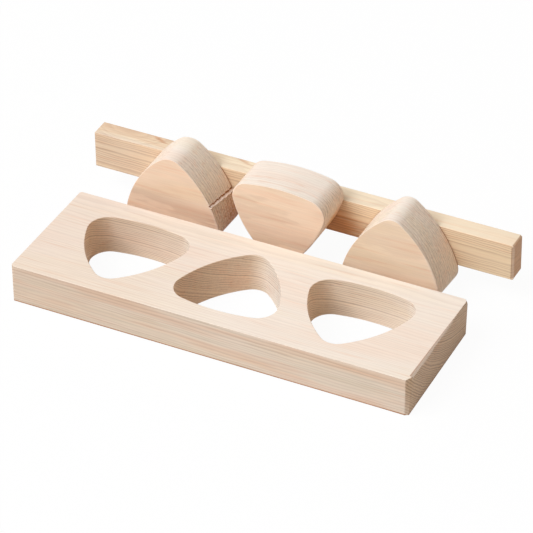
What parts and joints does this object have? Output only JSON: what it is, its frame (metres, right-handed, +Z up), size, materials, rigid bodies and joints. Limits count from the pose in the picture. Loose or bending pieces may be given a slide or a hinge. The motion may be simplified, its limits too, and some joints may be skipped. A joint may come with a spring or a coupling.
{
  "type": "sushi rice mold press",
  "caption": "Plain wooden rice mold: a board with rounded-triangle cups cut through it, and a loose presser with matching blocks on a crossbar.",
  "frame": {"origin": "middle of the whole set's footprint, on the surface that it lies on", "axes": "+X along the board and the crossbar, -Y towards the front, where the board lies, +Z up"},
  "size_m": [0.328, 0.163, 0.066],
  "materials": {
    "board_wood": "plain sanded",
    "block_wood": "plain sawn",
    "bar_wood": "plain sanded",
    "dowel_wood": "plain sawn"
  },
  "bodies": {
    "board": {"mold_board": "board_wood"},
    "presser": {"presser_bar": "bar_wood", "presser_block_left": "block_wood", "presser_block_middle": "block_wood", "presser_block_right": "block_wood", "dowel_left_outer": "dowel_wood", "dowel_left_inner": "dowel_wood", "dowel_middle_left": "dowel_wood", "dowel_middle_right": "dowel_wood", "dowel_right_inner": "dowel_wood", "dowel_right_outer": "dowel_wood"}
  },
  "joints": [
    {"name": "turn_over", "type": "hinge", "parent": "board", "child": "presser", "pos_m": [0, -0.002, 0.0035], "axis": [1, 0, 0], "range_deg": [0, 90]}
  ]
}
